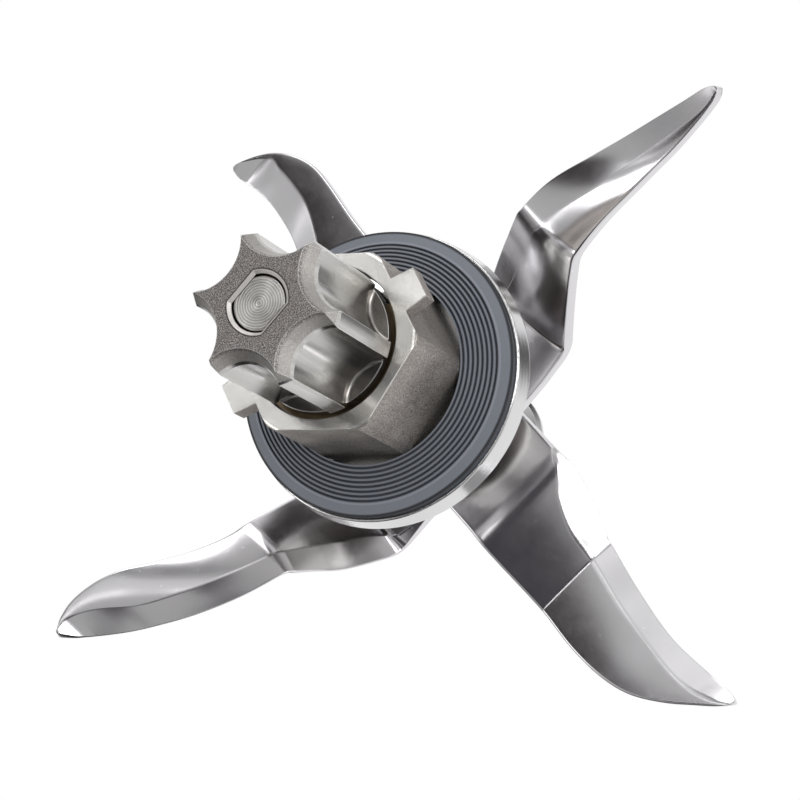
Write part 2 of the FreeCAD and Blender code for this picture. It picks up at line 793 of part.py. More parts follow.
HIGH_TWIN = dict(HIGH_ARM, **{
    "back": [(-0.2, 9.04), (0.2, 9.5), (0.5, 9.5), (1.0, 10.0), (1.2, 10.4), (1.4, 11.1), (1.5, 11.6),
             (1.61, 11.6), (1.71, 10.9), (1.83, 9.0), (1.88, 7.8), (1.94, 5.7), (2.0, 2.8)],
    "edge": [(-0.1, -9.04), (0.2, -8.9), (0.48, -7.7), (0.76, -6.2), (1.0, -4.6), (1.1, -3.4), (1.2, -2.0),
             (1.3, -0.8), (1.4, 0.4), (1.47, 1.0), (1.58, 1.5), (1.7, 1.9), (1.82, 1.6), (1.95, 0.6),
             (2.0, 0.3)],
    "ground": [(-0.2, -8.9), (0.1, -6.9), (0.26, -4.6), (0.43, -3.2), (0.63, -1.9), (1.0, -0.6), (1.26, 3.6),
               (1.4, 5.7), (1.59, 6.7), (1.75, 6.9), (1.86, 6.0), (1.93, 4.2), (2.0, 1.5)],
})

OUTER_STATIONS = [1.14, 1.24, 1.35, 1.47, 1.6, 1.72, 1.82, 1.91, 1.96, 2.0]
MIDDLE_STATIONS = [0.3, 0.55, 0.77]


def mix(table, station):
    """A value read off an outline, straight between its points."""
    if station <= table[0][0]:
        return table[0][1]
    for (left, low), (right, high) in zip(table, table[1:]):
        if station <= right:
            return low + (high - low) * (station - left) / (right - left)
    return table[-1][1]


class Arm:
    """One blade of a strip: a side view with two bends, and the outlines seen from above."""

    def __init__(self, outlines, root, first, second, second_height, reach, tip_height):
        self.outlines = outlines
        self.root = root
        self.first = first
        self.second = second
        self.second_height = second_height
        self.reach = reach
        self.tip_height = tip_height
        self.thickness = size("strip_thickness")
        self.width_ratio = size("strip_half_width") / outlines["back"][0][1]
        self.land_ratio = size("edge_land") / outlines["land"][-1][1]

    def station_at(self, along):
        if along < self.second:
            return (along - self.first) / (self.second - self.first)
        return 1.0 + (along - self.second) / (self.reach - self.second)

    def place_at(self, station):
        if station <= 1.0:
            along = self.first + station * (self.second - self.first)
            return along, self.root + station * (self.second_height - self.root)
        share = station - 1.0
        along = self.second + share * (self.reach - self.second)
        return along, self.second_height + share * (self.tip_height - self.second_height)

    def section(self, place, heading):
        """Back edge, top, sharp edge, its land and the foot of the ground face, square to the sheet."""
        along, height = place
        station = self.station_at(along)
        back = mix(self.outlines["back"], station) * self.width_ratio
        edge = mix(self.outlines["edge"], station) * self.width_ratio
        ground = mix(self.outlines["ground"], station) * self.width_ratio
        land = mix(self.outlines["land"], station) * self.land_ratio
        land = min(land, self.thickness - size("least_grind"))
        up = Vector(-math.sin(heading), 0, math.cos(heading))
        points = []
        for side, rise in ((back, 0.0), (back, self.thickness), (edge, self.thickness),
                           (edge, self.thickness - land), (ground, 0.0)):
            share = (side - edge) / (back - edge)
            lift = share * mix(self.outlines["back_lift"], station)
            lift += (1.0 - share) * mix(self.outlines["edge_lift"], station)
            points.append(Vector(along, side, height + lift) + up * rise)
        return Part.makePolygon(points + points[:1])

    def bend(self, corner, heading_in, heading_out):
        """Places and headings at the start, the middle and the end of a bend of the lower face."""
        along, height = corner
        turn = heading_out - heading_in
        side = 1.0 if turn > 0 else -1.0
        radius = size("bend_radius")
        if turn > 0:
            radius += self.thickness
        setback = radius * math.tan(abs(turn) / 2)
        start = (along - setback * math.cos(heading_in), height - setback * math.sin(heading_in))
        end = (along + setback * math.cos(heading_out), height + setback * math.sin(heading_out))
        centre_along = start[0] - side * radius * math.sin(heading_in)
        centre_height = start[1] + side * radius * math.cos(heading_in)
        half = heading_in + turn / 2
        across = side * radius * math.sin(half)
        middle = (centre_along + across, centre_height - side * radius * math.cos(half))
        return [(start, heading_in), (middle, half), (end, heading_out)]

    def solid(self):
        """The arm from its first bend to its tip, and the place where the flat root ends."""
        slope_in = math.atan2(self.second_height - self.root, self.second - self.first)
        slope_out = math.atan2(self.tip_height - self.second_height, self.reach - self.second)
        first = self.bend((self.first, self.root), 0.0, slope_in)
        second = self.bend((self.second, self.second_height), slope_in, slope_out)
        middle = [(self.place_at(station), slope_in) for station in MIDDLE_STATIONS]
        middle = [first[-1]] + middle + [second[0]]
        outer = [second[-1]] + [(self.place_at(station), slope_out) for station in OUTER_STATIONS]
        whole = None
        for run in (first, middle, second, outer):
            piece = Part.makeLoft([self.section(place, heading) for place, heading in run], True, False)
            whole = piece if whole is None else whole.fuse(piece)
        return whole, first[0][0][0]


def flatted_hole(turn):
    """The shaft's flatted outline with its clearance, as a cutter turned about the axis."""
    radius = size("hole_radius")
    flat = size("shaft_flat") + size("seat_gap")
    foot = size("hub_foot")
    height = size("knob_foot") - foot
    rod = Part.makeCylinder(radius, height, Vector(0, 0, foot))
    block = Part.makeBox(4 * radius, 2 * flat, height, Vector(-2 * radius, -flat, foot))
    cutter = rod.common(block)
    cutter.rotate(Vector(0, 0, 0), Vector(0, 0, 1), turn)
    return cutter


def make_strip(name, arm, twin_arm, turn):
    """Two arms on one flat root, drilled for the shaft's flats and turned to its own direction."""
    blade, root_end = arm.solid()
    twin = twin_arm.solid()[0]
    twin.rotate(Vector(0, 0, 0), Vector(0, 0, 1), 180)
    half = size("strip_half_width")
    corner = Vector(-root_end, -half, arm.root)
    root = Part.makeBox(2 * root_end, 2 * half, arm.thickness, corner)
    shape = root.fuse([blade, twin]).cut(flatted_hole(-turn))
    strip = doc.addObject("Part::Feature", name)
    strip.Shape = shape.Solids[0]
    strip.Placement = FreeCAD.Placement(Vector(0, 0, 0), FreeCAD.Rotation(Vector(0, 0, 1), turn))
    strip.Label = name
    return strip


def make_low_blade():
    """The strip whose arms fall steeply and then sweep out."""
    root = size("low_root")
    second = root - size("low_drop")
    tip = second - size("low_tip_drop")
    arms = [
        Arm(outlines, root, size("first_bend"), size("low_second_bend"), second, size(reach), tip)
        for outlines, reach in ((LOW_ARM, "low_reach"), (LOW_TWIN, "low_twin_reach"))
    ]
    return make_strip("low_blade", arms[0], arms[1], 0.0)


def make_high_blade():
    """The strip whose arms rise a little and run out nearly level."""
    root = size("high_root")
    second = root + size("high_rise")
    tip = second + size("high_tip_rise")
    arms = [
        Arm(outlines, root, size("first_bend"), size("high_second_bend"), second, size("high_reach"), tip)
        for outlines in (HIGH_ARM, HIGH_TWIN)
    ]
    return make_strip("high_blade", arms[0], arms[1], size("cross_angle"))


# The whole unit, from the coupling up to the knob

pieces = [make_housing(), make_flange(), make_seal(), make_star(), make_shaft()]
pieces += make_bearing("lower", "lower_foot") + make_bearing("upper", "upper_foot")
pieces += [make_spacer(), make_circlip()] + make_shaft_seal() + make_hub_stack()
pieces += [make_low_blade(), make_high_blade()]
doc.recompute()

for item in doc.Objects:
    if "Invalid" in item.State or "Error" in item.State:
        raise RuntimeError("%s did not build" % item.Label)
for piece in pieces:
    if piece.Shape.isNull() or not piece.Shape.isValid():
        raise RuntimeError("%s has no valid shape" % piece.Label)
    print("%-20s %10.2f mm3" % (piece.Label, piece.Shape.Volume))
    piece.Shape.exportStep("parts/%s.step" % piece.Label)
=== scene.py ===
import bpy
import math
from mathutils import Matrix, Vector


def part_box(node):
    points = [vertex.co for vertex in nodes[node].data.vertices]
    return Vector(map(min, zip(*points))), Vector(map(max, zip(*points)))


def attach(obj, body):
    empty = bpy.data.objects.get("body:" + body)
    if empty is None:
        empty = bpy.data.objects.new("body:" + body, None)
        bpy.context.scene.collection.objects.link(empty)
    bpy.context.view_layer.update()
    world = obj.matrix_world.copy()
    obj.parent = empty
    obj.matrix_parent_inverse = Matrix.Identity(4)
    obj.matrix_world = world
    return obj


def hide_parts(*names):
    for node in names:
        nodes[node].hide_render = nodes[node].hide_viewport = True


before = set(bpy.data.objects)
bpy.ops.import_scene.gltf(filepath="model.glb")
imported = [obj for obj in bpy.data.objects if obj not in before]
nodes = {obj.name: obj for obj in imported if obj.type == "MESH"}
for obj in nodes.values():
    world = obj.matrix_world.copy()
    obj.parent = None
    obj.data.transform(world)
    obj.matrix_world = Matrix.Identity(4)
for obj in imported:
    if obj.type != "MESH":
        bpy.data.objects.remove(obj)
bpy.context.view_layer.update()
MM = 0.001


# Housing: a cast hexagon with two bayonet lugs. Its lower end face and bore are turned on a lathe,
# and its sides are left bead-blasted. It carries the bearings inside and the flange on its neck.

class Value:
    """A shader socket. Arithmetic on it adds Math nodes to its own material."""

    def __init__(self, finish, socket):
        self.finish = finish
        self.socket = socket

    def __add__(self, other):
        return self.finish.maths("ADD", self, other)

    def __sub__(self, other):
        return self.finish.maths("SUBTRACT", self, other)

    def __rsub__(self, other):
        return self.finish.maths("SUBTRACT", other, self)

    def __mul__(self, other):
        return self.finish.maths("MULTIPLY", self, other)

    def __truediv__(self, other):
        return self.finish.maths("DIVIDE", self, other)

    __radd__ = __add__
    __rmul__ = __mul__


class Finish:
    """A procedural material, built up node by node round one Principled shader."""

    def __init__(self, name, **sockets):
        self.material = bpy.data.materials.new(name)
        self.material.use_nodes = True
        self.tree = self.material.node_tree
        self.shader = self.tree.nodes["Principled BSDF"]
        self.place = self.node("TexCoord", output="Object")
        parts = self.node("SeparateXYZ", {}, {0: self.place}, output=None)
        self.x, self.y, self.z = [Value(self, socket) for socket in parts.outputs]
        flat = self.node("VectorMath", {"operation": "MULTIPLY"}, {0: self.place, 1: (1, 1, 0)})
        self.radius = self.node("VectorMath", {"operation": "LENGTH"}, {0: flat}, output="Value")
        self.feed(**sockets)

    def node(self, kind, settings=None, sockets=None, output=0):
        """Adds a node, sets it up, fills its sockets and returns one output, or the node itself."""
        made = self.tree.nodes.new("ShaderNode" + kind)
        for name, value in (settings or {}).items():
            if name == "stops":
                self.fill_ramp(made.color_ramp, value)
            else:
                setattr(made, name, value)
        for name, value in (sockets or {}).items():
            self.plug(made.inputs[name], value)
        return made if output is None else Value(self, made.outputs[output])

    def fill_ramp(self, ramp, stops):
        while len(ramp.elements) < len(stops):
            ramp.elements.new(1.0)
        for element, (position, shade) in zip(ramp.elements, stops):
            element.position = position
            element.color = (*shade, 1.0)

    def plug(self, socket, value):
        if isinstance(value, Value):
            self.tree.links.new(value.socket, socket)
        elif socket.type == "RGBA" and len(value) == 3:
            socket.default_value = (*value, 1.0)
        else:
            socket.default_value = value

    def feed(self, **sockets):
        """Fills the Principled shader's sockets; an underscore stands for a space."""
        for name, value in sockets.items():
            self.plug(self.shader.inputs[name.replace("_", " ")], value)
        return self

    def maths(self, operation, *values):
        return self.node("Math", {"operation": operation}, dict(enumerate(values)))

    def noise(self, scale, detail=2.0, roughness=0.5, stretch=(1, 1, 1), distortion=0.0):
        """Noise with its scale in grains a metre, stretched by a factor a direction."""
        place = self.node("Mapping", {}, {"Vector": self.place, "Scale": stretch})
        return self.node("TexNoise", {}, {"Vector": place, "Scale": scale, "Detail": detail,
                                          "Roughness": roughness, "Distortion": distortion})

    def step(self, value, low, high):
        """0 below low, 1 above high, and smooth between."""
        return self.node("MapRange", {"interpolation_type": "SMOOTHSTEP"},
                         {"Value": value, "From Min": low, "From Max": high})

    def ramp(self, share, *stops):
        """Colours spread over a share, each stop a place and a colour."""
        return self.node("ValToRGB", {"stops": stops}, {0: share})

    def blend(self, share, first, second):
        """One colour turning into another."""
        return self.node("Mix", {"data_type": "RGBA"}, {0: share, 6: first, 7: second}, output=2)

    def mottle(self, pattern, first, second, roughness, spread):
        """Two near shades and a roughness that follow one pattern."""
        self.feed(Base_Color=self.blend(pattern, first, second),
                  Roughness=roughness + pattern * spread)

    def rings(self, pitch):
        """Fine turning marks: a wave of the distance from the shaft's axis."""
        turns = self.radius / pitch + self.noise(90.0, 2.0) * 0.6
        return self.maths("SINE", turns * (2 * math.pi))

    def rounded(self, radius):
        """The surface's direction as if its edges were rounded by a radius."""
        return self.node("Bevel", {"samples": 6}, {"Radius": radius})

    def relief(self, height, depth, edge=0.0):
        """Bump of a given depth in metres, over edges that look rounded by a radius."""
        sockets = {"Height": height, "Distance": depth, "Strength": 1.0}
        if edge:
            sockets["Normal"] = self.rounded(edge)
        self.feed(Normal=self.node("Bump", {}, sockets))

    def edges(self, radius):
        """0 on open faces, rising on edges within the radius."""
        face = self.node("NewGeometry", output="Normal")
        return 1 - self.node("VectorMath", {"operation": "DOT_PRODUCT"},
                             {0: self.rounded(radius), 1: face}, output="Value")


def coat(names, finish):
    """Gives a finish to some of the loaded pieces."""
    for name in names:
        for slot in nodes[name].material_slots:
            slot.material = finish.material


end_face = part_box("bearing_housing")[0].z
flange_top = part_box("mounting_flange")[1].z
cast = Finish("blasted_casting", Metallic=1.0)
turned_face = (1 - cast.step(cast.z, end_face + 0.12 * MM, end_face + 0.2 * MM)
               + cast.step(cast.z, flange_top - 0.2 * MM, flange_top))
blasted = 1 - turned_face
grain = cast.noise(4600.0, 3.0, 0.7)
cloud = cast.noise(160.0, 2.0)
sides = cast.ramp(grain * 0.75 + cloud * 0.25,
                  (0.36, (0.16, 0.143, 0.13)), (0.66, (0.68, 0.635, 0.595)))
smooth = cast.ramp(cloud, (0.35, (0.80, 0.785, 0.755)), (0.65, (0.90, 0.885, 0.86)))
cast.feed(Base_Color=cast.blend(turned_face, sides, smooth),
          Roughness=0.27 + blasted * (grain * 0.2 + 0.11))
cast.relief(grain * blasted + cast.rings(0.09 * MM) * turned_face * 0.06, 0.035 * MM, 0.22 * MM)
coat(["bearing_housing"], cast)


# Flange: a stainless ring turned and polished, pressed on the housing's neck. It closes the jar's
# floor and its lower face stands a little beyond the seal.

polish = Finish("polished_stainless", Metallic=1.0)
polish.mottle(polish.noise(70.0, 2.0), (0.655, 0.65, 0.655), (0.735, 0.735, 0.74), 0.13, 0.08)
polish.relief(polish.rings(0.12 * MM), 0.0006 * MM, 0.2 * MM)
coat(["mounting_flange"], polish)


# Seal: a ring moulded in grey-blue silicone and held under the flange. It has eight fine concentric
# grooves, darkened with painted shade, and outside them a plain land, with a painted highlight on
# its inner corner and a painted shadow at the flange.

groove_pitch = 0.65 * MM
first_groove = 14.7 * MM
silicone = Finish("grey_silicone", Specular_IOR_Level=0.45, IOR=1.43)
dust = silicone.noise(1500.0, 4.0, 0.7)
bloom = silicone.noise(60.0, 2.0)
grooved = 1 - silicone.step(silicone.radius, 19.45 * MM, 19.6 * MM)
wave = silicone.maths("COSINE", (silicone.radius - first_groove) * (2 * math.pi / groove_pitch))
groove = (wave * 0.5 + 0.5) * grooved
# Painted highlight: a pale ring of colour on the inner corner of the plain land.
corner_highlight = (silicone.step(silicone.radius, 19.5 * MM, 19.62 * MM)
         - silicone.step(silicone.radius, 19.72 * MM, 19.9 * MM))
# Painted shadow: the seal's rim next to the flange is coloured nearly black.
rim = silicone.step(silicone.radius, 21.0 * MM, 21.25 * MM)
body = silicone.blend(bloom * 0.6 + dust * 0.4, (0.150, 0.163, 0.189), (0.200, 0.216, 0.249))
body = silicone.blend(corner_highlight * 0.5, body, (0.31, 0.315, 0.37))
# Painted shade: the grooves are darkened in colour as well as sunk by the bump.
body = silicone.blend(groove * 0.8, body, (0.044, 0.047, 0.062))
body = silicone.blend(rim * 0.9, body, (0.012, 0.012, 0.015))
silicone.feed(Base_Color=body, Roughness=0.42 + bloom * 0.14)
silicone.relief(dust * 0.1 - groove, 0.07 * MM, 0.08 * MM)
coat(["seal_ring"], silicone)


# Drive star: pressed from metal powder and sintered. Its face and lead-ins stay granular, and the
# flutes are burnished by the die, with marks along their length and painted shade deep in them
# towards the housing. Its edges carry a painted highlight and small dark marks, and its bore is cut
# to the shaft's two flats, with painted shade round the shaft and a painted highlight on its bevel.

star_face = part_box("drive_star")[0].z
star_lead = star_face + 2.8 * MM
flute_shade_start, flute_shade_full = -27.0 * MM, -19.0 * MM
bore_radius, bore_flat = 4.02 * MM, 3.12 * MM
dark_edge = (0.05, 0.045, 0.04)
star = Finish("sintered_steel", Metallic=1.0)
powder = star.noise(5600.0, 3.0, 0.7)
unevenness = powder - 0.5
specks = star.step(star.noise(9000.0, 1.0), 0.56, 0.70)
drawn = star.noise(900.0, 3.0, 0.6, stretch=(1, 1, 0.04))
rough_end = 1 - star.step(star.z + unevenness * 0.5 * MM,
                          star_lead - 0.35 * MM, star_lead - 0.1 * MM)
granular = star.ramp(powder * 0.8 + specks * 0.2,
                     (0.35, (0.13, 0.12, 0.117)), (0.66, (0.86, 0.815, 0.79)))
worn = star.step(star.z, star_face + 0.25 * MM, star_face + 0.8 * MM) * 0.6
granular = star.blend(worn, granular, star.blend(drawn, (0.46, 0.44, 0.42), (0.70, 0.68, 0.65)))
burnished = star.blend(drawn, (0.36, 0.35, 0.34), (0.72, 0.71, 0.69))
# Painted shade: the flutes darken in colour towards the housing, where they run deep.
flute_shade = star.step(star.z + drawn * 3.0 * MM, flute_shade_start, flute_shade_full)
burnished = star.blend(flute_shade * 0.55, burnished, (0.12, 0.10, 0.085))
# Painted highlight: a pale band of colour along every edge.
edge_highlight = star.step(star.edges(0.30 * MM) + unevenness * 0.08, 0.04, 0.16)
# Small dark marks, broken, along the sharpest edges.
edge_dark_marks = star.step(star.edges(0.12 * MM) + unevenness * 0.3, 0.10, 0.24)
from_bore = star.maths("MAXIMUM", star.radius - bore_radius,
                       star.maths("ABSOLUTE", star.y) - bore_flat)
# Painted shade: the bore's wall, in the gap round the shaft, is coloured nearly black.
bore_gap_shade = 1 - star.step(from_bore, 0.03 * MM, 0.10 * MM)
# Painted highlight: a pale ring of colour on the bore's bevel.
bore_bevel_highlight = (1 - star.step(from_bore, 0.50 * MM, 0.56 * MM)) * rough_end
# Painted shade: a dark line of colour just outside the bore's bevel.
bore_shade_line = (star.step(from_bore, 0.52 * MM, 0.58 * MM)
                * (1 - star.step(from_bore, 0.70 * MM, 0.78 * MM)) * rough_end)
metal = star.blend(edge_highlight, star.blend(rough_end, burnished, granular), (0.88, 0.87, 0.85))
metal = star.blend(edge_dark_marks * 0.8, metal, dark_edge)
metal = star.blend(bore_bevel_highlight * 0.8, metal, (0.82, 0.79, 0.77))
metal = star.blend(bore_shade_line * 0.75, metal, dark_edge)
star.feed(Base_Color=star.blend(bore_gap_shade, metal, (0.02, 0.018, 0.016)),
          Roughness=0.16 + drawn * 0.14 + rough_end * 0.34)
star.relief(powder * rough_end * (1 - worn) + drawn * (1 - rough_end) * 0.08,
            0.03 * MM, 0.18 * MM)
coat(["drive_star"], star)


# Shaft: a turned and ground bar with two flats, which carries the star, the bearings and the hub.
# Its end shows in the star and has the fine rings of the lathe tool.

bar = Finish("turned_bar", Metallic=1.0)
marks = bar.rings(0.38 * MM) * (0.4 + bar.noise(900.0, 2.0) * 1.2)
bar_haze = bar.noise(500.0, 2.0)
bar_steel = bar.blend(marks * 0.32 + bar_haze * 0.7, (0.40, 0.385, 0.37), (0.86, 0.84, 0.81))
bar.feed(Base_Color=bar_steel, Roughness=0.26 + bar_haze * 0.12)
bar.relief(marks, 0.022 * MM, 0.12 * MM)
coat(["drive_shaft"], bar)


# Bearings: two ball bearings in the housing's bore. Their races and balls are ground and lapped,
# and the cages and thin shields are pressed from sheet.

lapped = Finish("bearing_steel", Metallic=1.0)
lapping = lapped.noise(700.0, 2.0)
lapped.mottle(lapping, (0.58, 0.58, 0.58), (0.68, 0.68, 0.68), 0.12, 0.1)
lapped.relief(lapping, 0.001 * MM, 0.1 * MM)
pressed = Finish("pressed_steel", Metallic=1.0)
rolled = pressed.noise(1200.0, 3.0)
pressed.mottle(rolled, (0.46, 0.455, 0.44), (0.60, 0.595, 0.58), 0.26, 0.14)
pressed.relief(rolled, 0.004 * MM, 0.08 * MM)
for level in ("lower", "upper"):
    coat([level + "_outer_race", level + "_inner_race"], lapped)
    coat(["%s_ball_%d" % (level, count) for count in range(1, 8)], lapped)
    coat([level + "_cage", level + "_shield_below", level + "_shield_above"], pressed)


# Spacer, sprung ring and shaft seal: small stock pieces inside the housing. The ring is blued
# spring steel. The seal is a steel case with a black rubber lip, which its garter spring holds on a
# turned sleeve.

coat(["bearing_spacer", "seal_sleeve"], bar)
coat(["shaft_seal_case", "lock_washer"], pressed)
blued = Finish("blued_spring_steel", Metallic=1.0)
temper = blued.noise(300.0, 2.0)
blued.mottle(temper, (0.13, 0.10, 0.07), (0.34, 0.26, 0.16), 0.3, 0.15)
blued.relief(temper, 0.002 * MM, 0.1 * MM)
coat(["housing_circlip", "garter_spring"], blued)
rubber = Finish("black_rubber")
mould_grain = rubber.noise(2500.0, 3.0)
rubber.mottle(mould_grain, (0.012, 0.012, 0.013), (0.03, 0.03, 0.032), 0.45, 0.2)
rubber.relief(mould_grain, 0.01 * MM)
coat(["shaft_seal_lip"], rubber)


# Hub and knob: turned pieces below and above the blades. The hub is given a near-black colour that
# stands in for the shade round it, as the blades mirror it, and the knob's stainless disc is what a
# hand grips.

# Painted shade: the hub's near-black colour stands in for the shade round it in the blades' mirror
# image.
shaded_hub = Finish("near_black_hub", Metallic=1.0)
hub_speckle = shaded_hub.noise(2600.0, 3.0)
shaded_hub.mottle(hub_speckle, (0.045, 0.038, 0.036), (0.10, 0.088, 0.084), 0.34, 0.16)
shaded_hub.relief(hub_speckle, 0.004 * MM, 0.1 * MM)
coat(["hub_seat"], shaded_hub)
coat(["grip_knob"], polish)


# Blades: two strips of hardened stainless sheet, each with two arms. A press bends every arm twice
# and a wheel grinds one edge of it from below. Tumbling then rounds the creases and polishes the
# faces. All sizes of an arm are in millimetres.

strip_thickness = 2.0
first_bend = 19.6
tip_round = 2.2


class Outline:
    """A smooth line along an arm through a few points, each a station and a distance.

    A station is 0 at the arm's first bend, 1 at the second and 2 at the tip.
    """

    def __init__(self, *points):
        self.points = points

    def slope(self, index):
        before = self.points[max(index - 1, 0)]
        after = self.points[min(index + 1, len(self.points) - 1)]
        return (after[1] - before[1]) / (after[0] - before[0])

    def at(self, station):
        if station <= self.points[0][0] or len(self.points) == 1:
            return self.points[0][1]
        for index in range(len(self.points) - 1):
            (left, low), (right, high) = self.points[index], self.points[index + 1]
            if station <= right:
                span = right - left
                share = (station - left) / span
                rise, fall = self.slope(index) * span, self.slope(index + 1) * span
                return (low * (1 + 2 * share) * (1 - share) ** 2 + rise * share * (1 - share) ** 2
                        + high * share ** 2 * (3 - 2 * share) + fall * share ** 2 * (share - 1))
        return self.points[-1][1]


def round_off(start, corner, stop, share):
    """A point on the curve that rounds off a corner."""
    return start * (1 - share) ** 2 + corner * 2 * share * (1 - share) + stop * share ** 2


def round_section(corners, radii, facets, runs):
    """A closed cross-section with its corners rounded, and extra points along its sides."""
    arcs = []
    count = len(corners)
    for index in range(count):
        here = Vector(corners[index])
        before = Vector(corners[index - 1]) - here
        after = Vector(corners[(index + 1) % count]) - here
        angle = before.angle(after, math.pi)
        reach = radii[index] / max(math.tan(angle / 2), 0.05)
        reach = min(reach, 0.42 * before.length, 0.42 * after.length)
        start, stop = here + before.normalized() * reach, here + after.normalized() * reach
        arcs.append([round_off(start, here, stop, facet / facets) for facet in range(facets + 1)])
    points = []
    for index in range(count):
        points += arcs[index]
        start, stop = arcs[index][-1], arcs[(index + 1) % count][0]
        for part in range(1, runs[index] + 1):
            share = part / (runs[index] + 1)
            share = 0.5 - 0.5 * math.cos(math.pi * share)
            points.append(start.lerp(stop, share))
    return points


def arm_path(shape, root):
    """Places on an arm's lower face from the shaft to the tip, each with its height and slope."""
    bend_steps, joggle_steps, blade_steps = 12, 14, 48
    second_bend, reach = shape["second_bend"], shape["reach"]
    second_height, tip_height = root + shape["second_rise"], root + shape["tip_rise"]
    slope_in = math.atan2(second_height - root, second_bend - first_bend)
    slope_out = math.atan2(tip_height - second_height, reach - second_bend)
    turns = []
    corners = ((first_bend, root, 0.0, slope_in),
               (second_bend, second_height, slope_in, slope_out))
    for bend, (along, height, before, after) in zip(shape["bends"], corners):
        radius = bend + (strip_thickness if after > before else 0.0)
        setback = radius * math.tan(abs(after - before) / 2)
        start = Vector((along - setback * math.cos(before), height - setback * math.sin(before)))
        stop = Vector((along + setback * math.cos(after), height + setback * math.sin(after)))
        turns.append((start, Vector((along, height)), stop, before, after))
    joggle = [step / joggle_steps for step in range(1, joggle_steps)]
    sweep = [math.sin(step / blade_steps * math.pi / 2) for step in range(1, blade_steps + 1)]
    straights = ((joggle, turns[1][0]), (sweep, Vector((reach, tip_height))))
    path = [(along, root, 0.0) for along in (0.6, first_bend * 0.35, first_bend * 0.7)]
    for (start, corner, stop, before, after), (shares, target) in zip(turns, straights):
        for step in range(bend_steps + 1):
            share = step / bend_steps
            place = round_off(start, corner, stop, share)
            path.append((place.x, place.y, before + (after - before) * share))
        for share in shares:
            place = stop.lerp(target, share)
            path.append((place.x, place.y, after))
    return path


def arm_rings(shape, root):
    """The cross-sections of one arm, each a list of points in millimetres."""
    second_bend, reach = shape["second_bend"], shape["reach"]
    back_round, cut_round, top_round = 0.45, 0.12, 0.22
    facets, runs = 6, (9, 7, 0, 12, 1)
    least_taper = 0.02
    rings = []
    for along, height, slope in arm_path(shape, root):
        if along < second_bend:
            station = (along - first_bend) / (second_bend - first_bend)
        else:
            station = 1 + (along - second_bend) / (reach - second_bend)
        back, edge, ground = [shape[name].at(station) for name in ("back", "edge", "ground")]
        left = max(reach - along, 0.0) / math.cos(slope)
        taper = 1.0
        if left < tip_round:
            taper = max(math.sqrt(1 - (1 - left / tip_round) ** 2), least_taper)
        middle, width = (back + edge) / 2, back - edge
        back, edge = [middle + (side - middle) * taper for side in (back, edge)]
        ground = min(max(ground, edge + 0.02 * (back - edge)), back - 0.06 * (back - edge))
        thin = taper ** 0.1
        land = max(shape["land"].at(station), strip_thickness - shape["grind"] * (ground - edge))
        low, high = strip_thickness / 2 * (1 - thin), strip_thickness / 2 * (1 + thin)
        corners = [(back, low), (ground, low), (edge, high - land * thin), (edge, high),
                   (back, high)]
        radii = (back_round, shape["ridge"], cut_round, top_round, back_round)
        ring = []
        for side, rise in round_section(corners, radii, facets, runs):
            if rise < 0.35 * strip_thickness and ground < side < back:
                across = (side - ground) / (back - ground)
                rise -= shape["crown"].at(station) * across * (1 - across) * (back - ground)
            share = (side - middle) / width + 0.5
            lift = (share * shape["back_lift"].at(station)
                    + (1 - share) * shape["edge_lift"].at(station))
            ring.append(Vector((along - math.sin(slope) * rise, side,
                                height + lift + math.cos(slope) * rise)))
        rings.append(ring)
    return rings


def make_strip(name, node, arms, turn):
    """Two arms joined at the shaft into one closed skin, in the place of the solid strip."""
    points, faces = [], []
    for sign, rings in zip((1, -1), arms):
        base = len(points)
        count = len(rings[0])
        for ring in rings:
            points += [Vector((sign * p.x, sign * p.y, p.z)) * MM for p in ring]
        for row in range(len(rings) - 1):
            here = base + row * count
            beyond = here + count
            for column in range(count):
                after = (column + 1) % count
                faces.append((here + column, here + after, beyond + after, beyond + column))
        last = base + (len(rings) - 1) * count
        faces.append(tuple(range(last, last + count)))
    skin = bpy.data.meshes.new(name)
    skin.from_pydata(points, [], faces)
    strip = bpy.data.objects.new(name, skin)
    bpy.context.scene.collection.objects.link(strip)
    bpy.ops.object.select_all(action="DESELECT")
    bpy.context.view_layer.objects.active = strip
    strip.select_set(True)
    bpy.ops.object.mode_set(mode="EDIT")
    bpy.ops.mesh.select_mode(type="EDGE")
    bpy.ops.mesh.select_all(action="DESELECT")
    bpy.ops.mesh.select_non_manifold()
    bpy.ops.mesh.bridge_edge_loops()
    bpy.ops.mesh.select_all(action="SELECT")
    bpy.ops.mesh.normals_make_consistent(inside=False)
    bpy.ops.object.mode_set(mode="OBJECT")
    bpy.ops.mesh.primitive_cylinder_add(vertices=64, radius=bore_radius, depth=12 * MM,
                                        location=(0, 0, arms[0][0][0].z * MM))
    drill = bpy.context.object
    cut = strip.modifiers.new("shaft_hole", "BOOLEAN")
    cut.operation = "DIFFERENCE"
    cut.object = drill
    bpy.context.view_layer.objects.active = strip
    bpy.ops.object.modifier_apply(modifier=cut.name)
    bpy.data.objects.remove(drill)
    strip.data.transform(Matrix.Rotation(math.radians(turn), 4, "Z"))
    bpy.ops.object.select_all(action="DESELECT")
    strip.select_set(True)
    bpy.ops.object.shade_smooth_by_angle(angle=math.radians(35))
    strip.data.materials.append(blade.material)
    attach(strip, "rotor")
    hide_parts(node)


blade = Finish("blade_stainless", Metallic=1.0)
swell = blade.noise(38.0, 1.0)
brushing = blade.noise(420.0, 4.0, 0.6, distortion=0.6)
pits = blade.step(blade.noise(2600.0, 0.0), 0.80, 0.86)
sheet_steel = blade.blend(swell, (0.665, 0.645, 0.665), (0.73, 0.725, 0.745))
blade.feed(Base_Color=blade.blend(pits, sheet_steel, (0.9, 0.9, 0.9)),
           Roughness=0.13 + brushing * 0.08 + pits * 0.05)
blade.relief(swell - pits * 0.004, 0.5 * MM)

